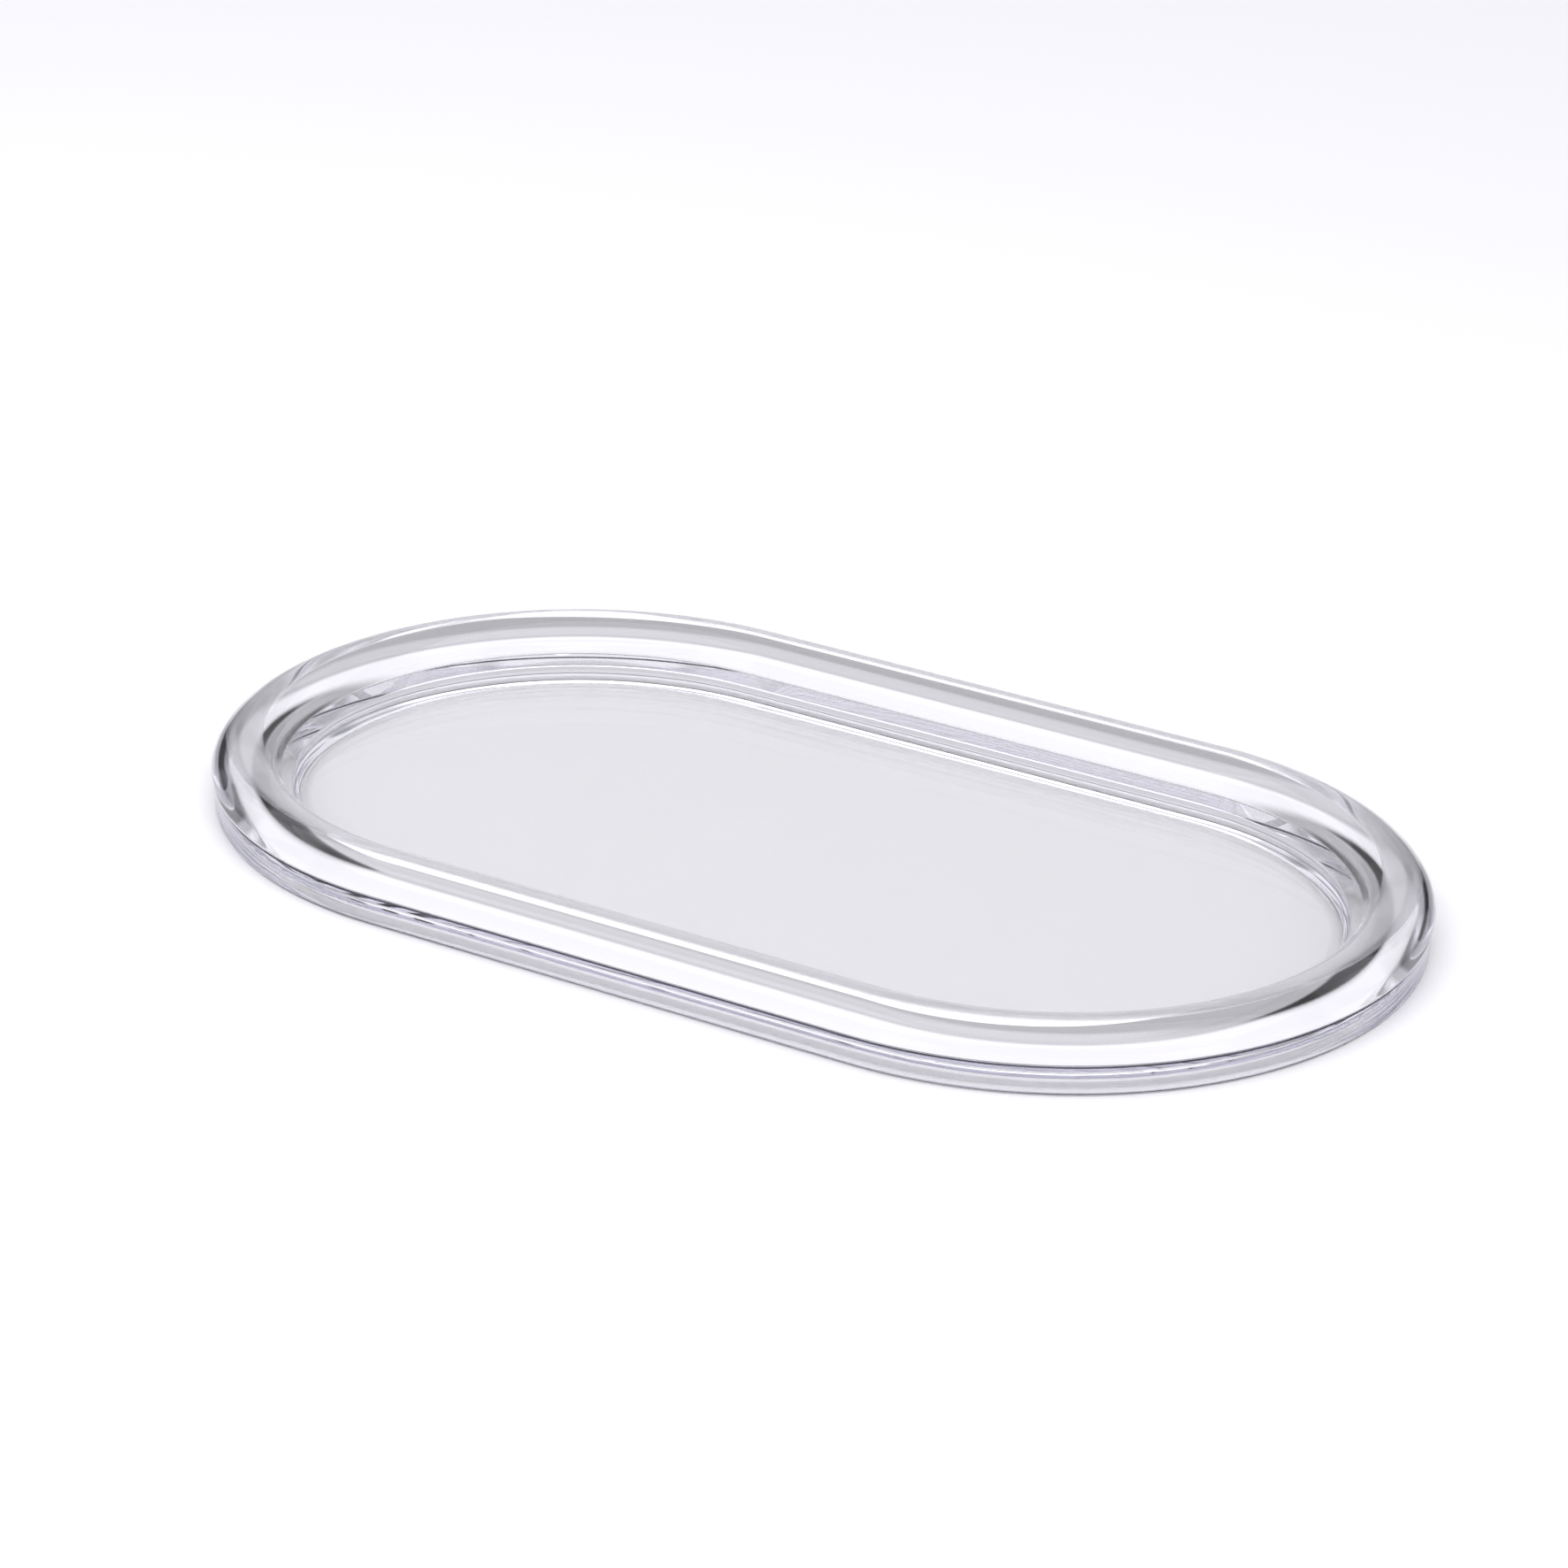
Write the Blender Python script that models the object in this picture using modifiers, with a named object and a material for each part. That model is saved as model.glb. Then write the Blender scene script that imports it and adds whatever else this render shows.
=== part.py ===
"""Clear pill-shaped dresser tray: a dished base with a thick border, and a rounded rim ring bonded on it.

Both pieces follow one plan, a rectangle with a half circle at each end. A piece is a closed outline in the
radius and height plane, turned through half a circle at one end, drawn along the straight to the middle, and
mirrored. Metres, +Z up, the long way along X, and the origin under the middle of the tray.
"""

import math

import bmesh
import bpy

# Plan: half the width, and half the straight stretch between the round ends.
HALF_WIDTH = 0.080
HALF_STRAIGHT = 0.058

# Heights, from the surface that the tray stands on.
FLOOR_TOP = 0.0020
SHOULDER_HEIGHT = 0.0052
SEAM_HEIGHT = 0.0066
WIDEST_HEIGHT = 0.0080
RIM_TOP = 0.0142

# Radii in the round ends, measured out from the ends' centres.
BORDER_OUTER = 0.0792
RIM_WIDTH = 0.0150
SHOULDER_RADIUS = 0.0627
DISH_RADIUS = 0.0584

# Small features.
BOND_GAP = 0.0003
FOOT_EDGE = 0.0010
BORDER_EDGE = 0.0003
INNER_EDGE = 0.0010
RECESS_RADIUS = 0.0632
RECESS_DEPTH = 0.0003

# Facets: along half a round end's outline, and round half the rim's section.
TURN_STEPS = 36
CROWN_STEPS = 14
SMALL_STEPS = 4
DISH_STEPS = 8

CLEAR_TINT = (0.93, 0.93, 0.96, 1.0)
ACRYLIC_IOR = 1.49
ACRYLIC_ROUGHNESS = 0.02
MERGE = 0.00001
SMOOTH_ANGLE = math.radians(35)


def clear_scene():
    for thing in list(bpy.data.objects):
        bpy.data.objects.remove(thing, do_unlink=True)


def new_collection(name):
    group = bpy.data.collections.new(name)
    bpy.context.scene.collection.children.link(group)
    return group


def clear_acrylic(name, tint):
    material = bpy.data.materials.new(name)
    material.use_nodes = True
    shader = material.node_tree.nodes["Principled BSDF"]
    shader.inputs["Base Color"].default_value = tint
    shader.inputs["Roughness"].default_value = ACRYLIC_ROUGHNESS
    shader.inputs["Metallic"].default_value = 0.0
    shader.inputs["IOR"].default_value = ACRYLIC_IOR
    shader.inputs["Transmission Weight"].default_value = 1.0
    return material


def arc(centre, radii, start, end, steps):
    """Points of an elliptical arc in the radius and height plane, both ends included, angles in degrees."""
    points = []
    for step in range(steps + 1):
        angle = math.radians(start + (end - start) * step / steps)
        radius = centre[0] + radii[0] * math.cos(angle)
        height = centre[1] + radii[1] * math.sin(angle)
        points.append((radius, height))
    return points


def base_outline():
    """From under the middle, out over the foot, up the border, in over the shoulder and down to the floor."""
    top = SEAM_HEIGHT - BOND_GAP / 2
    ledge = HALF_WIDTH - RIM_WIDTH + INNER_EDGE
    points = [(0.0, RECESS_DEPTH), (RECESS_RADIUS - RECESS_DEPTH, RECESS_DEPTH), (RECESS_RADIUS, 0.0)]
    points += arc((BORDER_OUTER - FOOT_EDGE, FOOT_EDGE), (FOOT_EDGE, FOOT_EDGE), -90, 0, SMALL_STEPS)
    points += [(BORDER_OUTER, top - BORDER_EDGE), (BORDER_OUTER - BORDER_EDGE, top), (ledge, top)]
    dish = (SHOULDER_RADIUS - DISH_RADIUS, SHOULDER_HEIGHT - FLOOR_TOP)
    points += arc((DISH_RADIUS, SHOULDER_HEIGHT), dish, 0, -90, DISH_STEPS)
    points += [(0.0, FLOOR_TOP)]
    return points


def rim_outline():
    """Round the rim's section: up its outer edge, over the crown, and back under its inner edge."""
    bottom = SEAM_HEIGHT + BOND_GAP / 2
    outer_edge = (HALF_WIDTH - BORDER_OUTER, WIDEST_HEIGHT - bottom)
    crown = (RIM_WIDTH / 2, RIM_TOP - WIDEST_HEIGHT)
    inner_edge = (INNER_EDGE, WIDEST_HEIGHT - bottom)
    inner = HALF_WIDTH - RIM_WIDTH
    points = arc((BORDER_OUTER, WIDEST_HEIGHT), outer_edge, -90, 0, SMALL_STEPS)
    points += arc((HALF_WIDTH - crown[0], WIDEST_HEIGHT), crown, 0, 180, CROWN_STEPS)[1:]
    points += arc((inner + INNER_EDGE, WIDEST_HEIGHT), inner_edge, 180, 270, SMALL_STEPS)[1:]
    return points


def sweep_round_plan(name, outline, closed, material, group):
    """Turns the outline through half a circle at the +X end, draws it to the middle and mirrors it."""
    mesh = bpy.data.meshes.new(name)
    shape = bmesh.new()
    ring = [shape.verts.new((HALF_STRAIGHT, -radius, height)) for radius, height in outline]
    pairs = list(zip(ring, ring[1:]))
    if closed:
        pairs.append((ring[-1], ring[0]))
    wire = [shape.edges.new(pair) for pair in pairs]
    turned = bmesh.ops.spin(
        shape,
        geom=ring + wire,
        cent=(HALF_STRAIGHT, 0.0, 0.0),
        axis=(0.0, 0.0, 1.0),
        angle=math.pi,
        steps=TURN_STEPS,
        use_merge=False,
        use_duplicate=False,
    )
    far_wire = [item for item in turned["geom_last"] if isinstance(item, bmesh.types.BMEdge)]
    for edges in (wire, far_wire):
        drawn = bmesh.ops.extrude_edge_only(shape, edges=edges)
        moved = [item for item in drawn["geom"] if isinstance(item, bmesh.types.BMVert)]
        bmesh.ops.translate(shape, verts=moved, vec=(-HALF_STRAIGHT, 0.0, 0.0))
    bmesh.ops.remove_doubles(shape, verts=shape.verts, dist=MERGE)
    bmesh.ops.recalc_face_normals(shape, faces=shape.faces)
    shape.to_mesh(mesh)
    shape.free()
    piece = bpy.data.objects.new(name, mesh)
    group.objects.link(piece)
    mesh.materials.append(material)
    mesh.shade_smooth()
    mesh.set_sharp_from_angle(angle=SMOOTH_ANGLE)
    mirror = piece.modifiers.new("both_ends", "MIRROR")
    mirror.use_axis = (True, False, False)
    mirror.use_mirror_merge = True
    mirror.merge_threshold = MERGE
    return piece


def build():
    clear_scene()
    tray = new_collection("pill_tray")
    base_material = clear_acrylic("clear_base", CLEAR_TINT)
    rim_material = clear_acrylic("clear_rim", CLEAR_TINT)
    sweep_round_plan("base_dish", base_outline(), False, base_material, tray)
    sweep_round_plan("rim_ring", rim_outline(), True, rim_material, tray)


build()
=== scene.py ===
"""Looks and studio for a clear, pill-shaped vanity tray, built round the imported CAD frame.

Units are metres. +X runs along the tray, +Y across it and +Z up.
"""

import math

import bmesh
import bpy
from mathutils import Matrix, Vector


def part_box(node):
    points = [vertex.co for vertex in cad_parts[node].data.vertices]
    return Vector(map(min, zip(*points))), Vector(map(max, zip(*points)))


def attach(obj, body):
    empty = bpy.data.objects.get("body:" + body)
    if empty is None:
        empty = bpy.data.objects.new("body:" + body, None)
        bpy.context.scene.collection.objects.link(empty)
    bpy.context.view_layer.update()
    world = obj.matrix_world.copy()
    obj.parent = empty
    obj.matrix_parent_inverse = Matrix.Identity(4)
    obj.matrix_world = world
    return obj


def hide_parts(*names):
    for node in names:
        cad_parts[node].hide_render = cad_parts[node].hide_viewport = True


MM = 0.001

# Plan and heights of the tray that the frame doesn't say by itself.
FLOOR_TOP = 2.0 * MM
WIDEST_HEIGHT = 8.0 * MM
WALL_SETBACK = 0.8 * MM
RIM_WIDTH = 15.0 * MM
INNER_EDGE = 1.0 * MM
SHOULDER_RADIUS = 62.7 * MM
SHOULDER_HEIGHT = 5.2 * MM
DISH_RADIUS = 58.4 * MM
FOOT_EDGE = 1.0 * MM
BORDER_EDGE = 0.3 * MM
RECESS_RADIUS = 63.2 * MM
RECESS_DEPTH = 0.3 * MM

# Fineness of the shown surfaces.
TURN_STEPS = 120
STRAIGHT_STEPS = 24
CROWN_STEPS = 64
SMALL_STEPS = 10
DISH_STEPS = 16
SHARP_ANGLE = math.radians(20)

# Clear acrylic.
ACRYLIC_IOR = 1.49
CLEAR = (1.0, 1.0, 1.0, 1.0)
TINT = (0.50, 0.49, 0.64, 1.0)
TINT_DENSITY = 6.0
ROUGHNESS = 0.01
HAZE_SCALE = 60.0
WAVE_SCALE = 25.0
WAVE_DETAIL = 1.0
WAVE_HEIGHT = 0.04 * MM

# Painted shade: dark lines round the outer wall, one at the foot's rounded edge and one on each side of
# the seam, where the clear edges show dark.
PAINTED_SHADE_COLOUR = (0.02, 0.02, 0.03, 1.0)
FOOT_SHADE_BAND = (0.3 * MM, 0.65 * MM)
SEAM_SHADE_START = BORDER_EDGE / 20

# Table.
TABLE_COLOUR = (0.92, 0.92, 0.92, 1.0)
TABLE_HALF = 8.0
TABLE_HEIGHT = -0.05 * MM

# Strengths of the studio's even light, and of its panels; the cards take light away.
STUDIO_COLOUR = (0.99, 0.98, 1.03, 1.0)
ROOM = 0.48
BACKDROP = 0.54
UPPER_PANEL = 0.2
UPPER_CARDS = -0.47
LOWER_CARDS = -0.42
SIDE_PANELS = 0.6
FRONT_CORNERS = 0.45
FRONT_PANEL = 0.5
HIGH_PANEL = 0.9

# Softbox over the tray.
SOFTBOX_HEIGHT = 0.45
SOFTBOX_LENGTH = 1.1
SOFTBOX_DEPTH = 0.86
SOFTBOX_FAR_EDGE = 0.16
SOFTBOX_RADIANCE = 0.8

# Camera: direction from the tray, distance and lens of a long product shot.
CAMERA_AZIMUTH = math.radians(31.3)
CAMERA_ELEVATION = math.radians(24.4)
CAMERA_ROLL = math.radians(1.15)
CAMERA_DISTANCE = 1.241
CAMERA_LENS = 134.2
CAMERA_SENSOR = 36.0
CAMERA_REACH = 50.0
AIM_LEFT = 5.7 * MM
AIM_UP = 16.0 * MM
LIGHT_BOUNCES = 160


def arc(centre, radii, start, end, steps):
    """Points of an elliptic arc in the radius-height plane, both ends included, angles in degrees."""
    points = []
    for step in range(steps + 1):
        angle = math.radians(start + (end - start) * step / steps)
        across = centre[0] + radii[0] * math.cos(angle)
        height = centre[1] + radii[1] * math.sin(angle)
        points.append((across, height))
    return points


def base_outline(half_width, top):
    """Outline of the dished base from the centre of its underside to the centre of its floor."""
    border = half_width - WALL_SETBACK
    ledge = half_width - RIM_WIDTH + INNER_EDGE
    points = [(0.0, RECESS_DEPTH), (RECESS_RADIUS - RECESS_DEPTH, RECESS_DEPTH)]
    points.append((RECESS_RADIUS, 0.0))
    points += arc((border - FOOT_EDGE, FOOT_EDGE), (FOOT_EDGE, FOOT_EDGE), -90, 0, SMALL_STEPS)
    points += [(border, top - BORDER_EDGE), (border - BORDER_EDGE, top), (ledge, top)]
    wall = (SHOULDER_RADIUS - DISH_RADIUS, SHOULDER_HEIGHT - FLOOR_TOP)
    points += arc((DISH_RADIUS, SHOULDER_HEIGHT), wall, 0, -90, DISH_STEPS)
    points.append((0.0, FLOOR_TOP))
    return points


def rim_outline(half_width, bottom, top):
    """Closed outline of the rim ring: flat underside between two rounded edges, and a high crown."""
    border = half_width - WALL_SETBACK
    inner = half_width - RIM_WIDTH
    edge = (half_width - border, WIDEST_HEIGHT - bottom)
    crown = (RIM_WIDTH / 2, top - WIDEST_HEIGHT)
    inside = (INNER_EDGE, WIDEST_HEIGHT - bottom)
    points = arc((border, WIDEST_HEIGHT), edge, -90, 0, SMALL_STEPS)
    points += arc((half_width - crown[0], WIDEST_HEIGHT), crown, 0, 180, CROWN_STEPS)[1:]
    points += arc((inner + INNER_EDGE, WIDEST_HEIGHT), inside, 180, 270, SMALL_STEPS)[1:]
    return points


def plan_loop(mesh, radius, height, half_straight):
    """One pill-shaped loop of vertices at a given radius and height."""
    loop = []
    for side in (1, -1):
        for step in range(TURN_STEPS + 1):
            angle = math.pi * step / TURN_STEPS - math.pi / 2
            x = side * (half_straight + radius * math.cos(angle))
            loop.append(mesh.verts.new((x, side * radius * math.sin(angle), height)))
        for step in range(1, STRAIGHT_STEPS):
            x = side * half_straight * (1 - 2 * step / STRAIGHT_STEPS)
            loop.append(mesh.verts.new((x, side * radius, height)))
    return loop


def sweep(mesh, outline, closed, half_straight):
    """Draws an outline round the pill-shaped plan; an open one is closed by a flat face at each end."""
    rings = [plan_loop(mesh, radius, height, half_straight) for radius, height in outline if radius > 0]
    pairs = list(zip(rings, rings[1:]))
    if closed:
        pairs.append((rings[-1], rings[0]))
    for lower, upper in pairs:
        count = len(lower)
        for index in range(count):
            after = (index + 1) % count
            mesh.faces.new((lower[index], lower[after], upper[after], upper[index]))
    if not closed:
        mesh.faces.new(rings[0])
        mesh.faces.new(rings[-1])
    bmesh.ops.recalc_face_normals(mesh, faces=mesh.faces)


def swept_piece(name, outline, closed, half_straight, material):
    """A piece of the tray: its outline swept round the plan, and smooth between the sharp edges."""
    mesh = bmesh.new()
    sweep(mesh, outline, closed, half_straight)
    data = bpy.data.meshes.new(name)
    mesh.to_mesh(data)
    mesh.free()
    data.shade_smooth()
    data.set_sharp_from_angle(angle=SHARP_ANGLE)
    data.materials.append(material)
    piece = bpy.data.objects.new(name, data)
    bpy.context.scene.collection.objects.link(piece)
    return piece


class Graph:
    """A node tree, with short calls for the nodes that the materials and the studio need."""

    def __init__(self, tree):
        self.nodes = tree.nodes
        self.links = tree.links

    def feed(self, socket, value):
        """Sets a socket to a number or a vector, or links it to another node's output."""
        if isinstance(value, (int, float, Vector)):
            socket.default_value = value
        else:
            self.links.new(value, socket)

    def maths(self, operation, *values):
        node = self.nodes.new("ShaderNodeMath")
        node.operation = operation
        for socket, value in zip(node.inputs, values):
            self.feed(socket, value)
        return node.outputs[0]

    def noise(self, place, scale):
        node = self.nodes.new("ShaderNodeTexNoise")
        node.inputs["Scale"].default_value = scale
        self.links.new(place, node.inputs["Vector"])
        return node


def painted_shade_mask(graph, place, half_straight, least_radius, shade_bands):
    """One on the outer wall within the bands of height where shade is painted, zero elsewhere."""
    maths = graph.maths
    split = graph.nodes.new("ShaderNodeSeparateXYZ")
    graph.links.new(place, split.inputs["Vector"])
    along = maths("MAXIMUM", maths("SUBTRACT", maths("ABSOLUTE", split.outputs["X"]), half_straight), 0.0)
    across = maths("POWER", maths("ABSOLUTE", split.outputs["Y"]), 2.0)
    radius = maths("SQRT", maths("ADD", maths("POWER", along, 2.0), across))
    outside = maths("GREATER_THAN", radius, least_radius)
    level = 0.0
    for low, high in shade_bands:
        shade_band = maths("COMPARE", split.outputs["Z"], (low + high) / 2, (high - low) / 2)
        level = maths("MAXIMUM", level, shade_band)
    return maths("MULTIPLY", outside, level)


def colour_with_painted_shade(graph, shade_lines):
    """Clear all over, but with painted shade in the dark lines."""
    mix = graph.nodes.new("ShaderNodeMix")
    mix.data_type = "RGBA"
    graph.links.new(shade_lines, mix.inputs["Factor"])
    mix.inputs["A"].default_value = CLEAR
    mix.inputs["B"].default_value = PAINTED_SHADE_COLOUR
    return mix.outputs["Result"]


def varied_roughness(graph, place):
    """A polish that is a little less than perfect, here and there."""
    amount = graph.nodes.new("ShaderNodeMapRange")
    amount.inputs["To Min"].default_value = 0.0
    amount.inputs["To Max"].default_value = ROUGHNESS
    graph.links.new(graph.noise(place, HAZE_SCALE).outputs["Fac"], amount.inputs["Value"])
    return amount.outputs["Result"]


def wavy_normal(graph, place):
    """The faint waviness of a moulded surface."""
    wave = graph.noise(place, WAVE_SCALE)
    wave.inputs["Detail"].default_value = WAVE_DETAIL
    bump = graph.nodes.new("ShaderNodeBump")
    bump.inputs["Strength"].default_value = 1.0
    bump.inputs["Distance"].default_value = WAVE_HEIGHT
    graph.links.new(wave.outputs["Fac"], bump.inputs["Height"])
    return bump.outputs["Normal"]


def tinted_body(graph):
    """The material's own faint colour, which deepens with the length of the light's way through it."""
    body = graph.nodes.new("ShaderNodeVolumeAbsorption")
    body.inputs["Color"].default_value = TINT
    body.inputs["Density"].default_value = TINT_DENSITY
    return body.outputs["Volume"]


def clear_acrylic(name, half_straight, least_radius, shade_bands):
    """Polished clear acrylic, with painted shade as dark lines in the bands of height on its outer wall.
    """
    material = bpy.data.materials.new(name)
    material.use_nodes = True
    graph = Graph(material.node_tree)
    place = graph.nodes.new("ShaderNodeTexCoord").outputs["Object"]
    shade_lines = painted_shade_mask(graph, place, half_straight, least_radius, shade_bands)
    surface = graph.nodes["Principled BSDF"].inputs
    surface["Base Color"].default_value = CLEAR
    surface["IOR"].default_value = ACRYLIC_IOR
    surface["Transmission Weight"].default_value = 1.0
    # The base colour carries the painted shade of the dark lines at the foot and seam.
    graph.links.new(colour_with_painted_shade(graph, shade_lines), surface["Base Color"])
    graph.links.new(varied_roughness(graph, place), surface["Roughness"])
    graph.links.new(wavy_normal(graph, place), surface["Normal"])
    graph.links.new(tinted_body(graph), graph.nodes["Material Output"].inputs["Volume"])
    return material


def build_tray():
    """The two clear mouldings, each in place of its CAD node."""
    seam_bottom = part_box("base_dish")[1].z
    rim_low, rim_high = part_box("rim_ring")
    half_width = rim_high.y
    half_straight = rim_high.x - half_width
    outer = half_width - RIM_WIDTH / 2

    # Painted shade on the base's edge just under the seam, and at the foot.
    shade_below_seam = (seam_bottom - BORDER_EDGE, seam_bottom - SEAM_SHADE_START)
    material = clear_acrylic("clear_base", half_straight, outer, (FOOT_SHADE_BAND, shade_below_seam))
    outline = base_outline(half_width, seam_bottom)
    base = swept_piece("base_dish_clear", outline, False, half_straight, material)
    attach(base, "root")
    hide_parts("base_dish")

    # Painted shade on the rim's edge just over the seam.
    shade_above_seam = (rim_low.z + SEAM_SHADE_START, rim_low.z + BORDER_EDGE)
    material = clear_acrylic("clear_rim", half_straight, outer, (shade_above_seam,))
    outline = rim_outline(half_width, rim_low.z, rim_high.z)
    rim = swept_piece("rim_ring_clear", outline, True, half_straight, material)
    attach(rim, "root")
    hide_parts("rim_ring")


def build_table():
    """The pale surface that the tray stands on."""
    material = bpy.data.materials.new("table_white")
    material.use_nodes = True
    surface = material.node_tree.nodes["Principled BSDF"].inputs
    surface["Base Color"].default_value = TABLE_COLOUR
    surface["Roughness"].default_value = 1.0
    surface["Specular IOR Level"].default_value = 0.0
    mesh = bpy.data.meshes.new("table")
    sides = [(-1, -1), (1, -1), (1, 1), (-1, 1)]
    corners = [(x * TABLE_HALF, y * TABLE_HALF, TABLE_HEIGHT) for x, y in sides]
    mesh.from_pydata(corners, [], [(0, 1, 2, 3)])
    mesh.materials.append(material)
    table = bpy.data.objects.new("table", mesh)
    bpy.context.scene.collection.objects.link(table)


class Studio:
    """A world whose brightness depends on direction: panels and dark cards in an evenly lit room."""

    def __init__(self):
        self.world = bpy.data.worlds.new("studio")
        self.world.use_nodes = True
        self.graph = Graph(self.world.node_tree)
        self.direction = self.graph.nodes.new("ShaderNodeTexCoord").outputs["Generated"]
        self.total = ROOM

    def along(self, axis):
        """How far a direction points along an axis."""
        node = self.graph.nodes.new("ShaderNodeVectorMath")
        node.operation = "DOT_PRODUCT"
        self.graph.feed(node.inputs[0], self.direction)
        self.graph.feed(node.inputs[1], axis)
        return node.outputs["Value"]

    def step(self, value, start, end):
        """A smooth rise from zero to one."""
        node = self.graph.nodes.new("ShaderNodeMapRange")
        node.interpolation_type = "SMOOTHSTEP"
        self.graph.feed(node.inputs["Value"], value)
        node.inputs["From Min"].default_value = start
        node.inputs["From Max"].default_value = end
        return node.outputs["Result"]

    def within(self, axis, depth, half, soft):
        """One where a direction is less than half an opening away from the middle, sideways or upward."""
        maths = self.graph.maths
        reach = maths("ABSOLUTE", maths("DIVIDE", self.along(axis), depth))
        inside = math.tan(math.radians(half - soft))
        outside = math.tan(math.radians(half + soft))
        return maths("SUBTRACT", 1.0, self.step(reach, inside, outside))

    def box(self, azimuth, elevation, half_wide, half_high, soft, strength):
        """A soft-edged rectangle, in degrees; azimuth runs clockwise from straight behind the tray."""
        turn = math.radians(azimuth)
        tilt = math.radians(elevation)
        away = Vector((-math.sin(CAMERA_AZIMUTH), math.cos(CAMERA_AZIMUTH), 0))
        side = Vector((math.cos(CAMERA_AZIMUTH), math.sin(CAMERA_AZIMUTH), 0))
        level = away * math.cos(turn) + side * math.sin(turn)
        centre = level * math.cos(tilt) + Vector((0, 0, math.sin(tilt)))
        across = side * math.cos(turn) - away * math.sin(turn)
        up = across.cross(centre)
        maths = self.graph.maths
        depth = self.along(centre)
        front = self.step(depth, 0.02, 0.05)
        depth = maths("MAXIMUM", depth, 0.02)
        wide = self.within(across, depth, half_wide, soft)
        high = self.within(up, depth, half_high, soft)
        shape = maths("MULTIPLY", maths("MULTIPLY", wide, high), front)
        self.total = maths("ADD", self.total, maths("MULTIPLY", shape, strength))

    def pair(self, azimuth, *sizes_and_strength):
        """The same rectangle to the left and to the right."""
        for side in (-1, 1):
            self.box(side * azimuth, *sizes_and_strength)

    def finish(self):
        shader = self.graph.nodes["Background"]
        shader.inputs["Color"].default_value = STUDIO_COLOUR
        self.graph.links.new(self.total, shader.inputs["Strength"])
        bpy.context.scene.world = self.world


def build_world():
    """Where the panels and cards stand: azimuth, elevation, half width, half height and softness."""
    studio = Studio()
    studio.box(0, 12, 11, 21, 2, BACKDROP)
    studio.box(-8, 42, 14, 7, 3, UPPER_PANEL)
    studio.pair(22, 28, 8, 7.5, 1.2, UPPER_CARDS)
    studio.pair(26, 3, 10, 8, 2, LOWER_CARDS)
    studio.pair(60, 26, 16, 18, 3, SIDE_PANELS)
    studio.pair(117, 20, 25, 22, 5, FRONT_CORNERS)
    studio.box(180, 20, 30, 22, 5, FRONT_PANEL)
    studio.box(180, 58, 55, 28, 4, HIGH_PANEL)
    studio.finish()


def build_softbox():
    """A broad softbox over the tray, which ends above its far side."""
    data = bpy.data.lights.new("softbox", "AREA")
    data.shape = "RECTANGLE"
    data.size = SOFTBOX_LENGTH
    data.size_y = SOFTBOX_DEPTH
    data.energy = SOFTBOX_RADIANCE * math.pi * SOFTBOX_LENGTH * SOFTBOX_DEPTH
    data.color = STUDIO_COLOUR[:3]
    softbox = bpy.data.objects.new("softbox", data)
    softbox.location = (0.0, SOFTBOX_FAR_EDGE - SOFTBOX_DEPTH / 2, SOFTBOX_HEIGHT)
    softbox.visible_camera = False
    bpy.context.scene.collection.objects.link(softbox)


def build_camera():
    """A long lens that looks down on the tray from its front right."""
    azimuth = Vector((math.sin(CAMERA_AZIMUTH), -math.cos(CAMERA_AZIMUTH), 0))
    back = azimuth * math.cos(CAMERA_ELEVATION) + Vector((0, 0, math.sin(CAMERA_ELEVATION)))
    right = Vector((math.cos(CAMERA_AZIMUTH), math.sin(CAMERA_AZIMUTH), 0))
    up = back.cross(right)
    place = back * CAMERA_DISTANCE
    aim = up * AIM_UP - right * AIM_LEFT
    forward = (aim - place).normalized()
    level = forward.cross(Vector((0, 0, 1))).normalized()
    high = level.cross(forward)
    across = level * math.cos(CAMERA_ROLL) + high * math.sin(CAMERA_ROLL)
    above = high * math.cos(CAMERA_ROLL) - level * math.sin(CAMERA_ROLL)
    data = bpy.data.cameras.new("camera")
    data.lens = CAMERA_LENS
    data.sensor_width = CAMERA_SENSOR
    data.clip_end = CAMERA_REACH
    camera = bpy.data.objects.new("camera", data)
    bpy.context.scene.collection.objects.link(camera)
    turn = Matrix((across, above, -forward)).transposed()
    camera.matrix_world = Matrix.Translation(place) @ turn.to_4x4()
    bpy.context.scene.camera = camera


def set_light_paths():
    """Light is piped many times through the thin floor, so its paths are long."""
    scene = bpy.context.scene
    scene.view_settings.view_transform = "Standard"
    scene.cycles.max_bounces = LIGHT_BOUNCES
    scene.cycles.transmission_bounces = LIGHT_BOUNCES
    scene.cycles.glossy_bounces = LIGHT_BOUNCES


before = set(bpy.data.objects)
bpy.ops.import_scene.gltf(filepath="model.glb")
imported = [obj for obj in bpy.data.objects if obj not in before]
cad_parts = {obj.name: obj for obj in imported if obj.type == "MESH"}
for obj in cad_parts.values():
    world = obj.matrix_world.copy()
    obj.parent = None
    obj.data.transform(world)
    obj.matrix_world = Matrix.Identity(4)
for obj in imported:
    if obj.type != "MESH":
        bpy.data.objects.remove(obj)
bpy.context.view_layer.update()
build_tray()
build_table()
build_world()
build_softbox()
build_camera()
set_light_paths()
